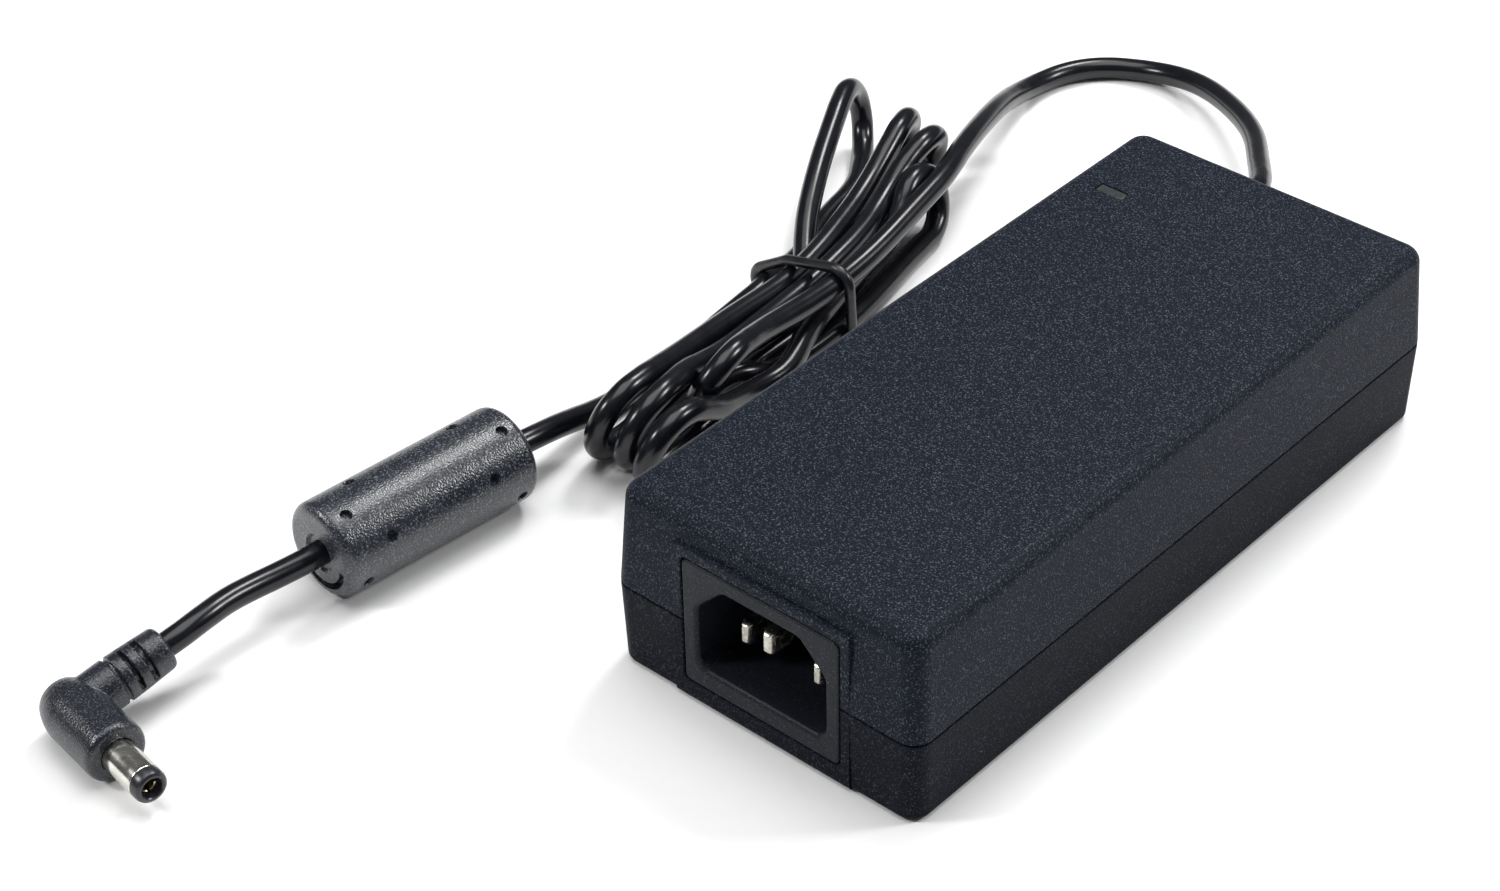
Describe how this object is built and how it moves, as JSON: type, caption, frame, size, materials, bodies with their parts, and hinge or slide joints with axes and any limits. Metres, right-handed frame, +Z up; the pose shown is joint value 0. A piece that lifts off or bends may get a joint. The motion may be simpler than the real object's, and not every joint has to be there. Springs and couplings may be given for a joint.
{
  "type": "laptop power adapter",
  "caption": "Slab-shaped mains power adapter with a three-pin inlet and a tied low-voltage cord that carries a moulded ferrite and a right-angle barrel plug.",
  "frame": {"origin": "on the underside, below the middle of the casing", "axes": "+Z up; +Y along the casing from the mains inlet to the low-voltage cord's exit; +X to the right when looking from the inlet end"},
  "size_m": [0.1355, 0.2632, 0.0334],
  "materials": {
    "casing_top": "moulded, fine spark-eroded grain, semi-matte",
    "casing_base": "moulded, fine spark-eroded grain, semi-matte",
    "lens": "frosted, unlit",
    "label": "blank laminated foil, satin",
    "inlet_plastic": "moulded nylon, semi-matte",
    "nickel_contact": "nickel-plated brass, satin",
    "board": "solder mask over woven laminate",
    "sheet": "thin translucent film",
    "fuse_case": "moulded",
    "disc_blue": "dipped epoxy",
    "film_yellow": "moulded box",
    "ferrite": "sintered, matte",
    "copper_wire": "enamelled winding",
    "package_black": "moulded epoxy with tinned legs",
    "package_white": "moulded epoxy",
    "capacitor_sleeve": "shrunk sleeve over an aluminium can",
    "heatsink": "rolled sheet, satin",
    "winding_tape": "polyester tape",
    "steel": "zinc plated",
    "led_green": "diffused epoxy",
    "wire_brown": "insulated wire",
    "wire_blue": "insulated wire",
    "wire_green": "insulated wire",
    "wire_red": "insulated wire",
    "wire_black": "insulated wire",
    "relief": "moulded, semi-gloss",
    "cord_jacket": "extruded PVC, glossy",
    "tie": "plastic-coated wire, glossy",
    "ferrite_moulding": "moulded PVC, leather-like grain, semi-gloss",
    "plug_moulding": "moulded PVC, fine grain, semi-gloss",
    "nickel_plate": "bright nickel plate",
    "plug_tip": "moulded insulator",
    "spring_contact": "plated spring contact"
  },
  "bodies": {
    "root": {"top_shell": "casing_top", "bottom_shell": "casing_base", "led_lens": "lens", "rating_label": "label", "inlet_housing": "inlet_plastic", "line_pin": "nickel_contact", "neutral_pin": "nickel_contact", "earth_pin": "nickel_contact", "circuit_board": "board", "insulating_sheet": "sheet", "fuse": "fuse_case", "surge_disc": "disc_blue", "x_capacitor": "film_yellow", "y_capacitor": "disc_blue", "mains_choke_core": "ferrite", "mains_choke_winding": "copper_wire", "bridge_rectifier": "package_black", "bulk_capacitor": "capacitor_sleeve", "primary_heatsink": "heatsink", "switching_transistor": "package_black", "transformer_core": "ferrite", "transformer_winding": "winding_tape", "secondary_heatsink": "heatsink", "output_rectifier": "package_black", "heatsink_screws": "steel", "output_capacitors": "capacitor_sleeve", "output_choke_core": "ferrite", "output_choke_winding": "copper_wire", "optocoupler": "package_white", "control_chip": "package_black", "indicator_led": "led_green", "line_wire": "wire_brown", "neutral_wire": "wire_blue", "earth_wire": "wire_green", "positive_wire": "wire_red", "ground_wire": "wire_black", "strain_relief": "relief", "cord_lead": "cord_jacket", "cord_hank": "cord_jacket", "cable_tie": "tie", "cord_tail": "cord_jacket", "ferrite_sleeve": "ferrite_moulding", "ferrite_core": "ferrite", "cord_mid": "cord_jacket", "cord_end": "cord_jacket", "plug_body": "plug_moulding", "plug_barrel": "nickel_plate", "plug_insulator": "plug_tip", "plug_contact": "spring_contact"}
  },
  "joints": []
}
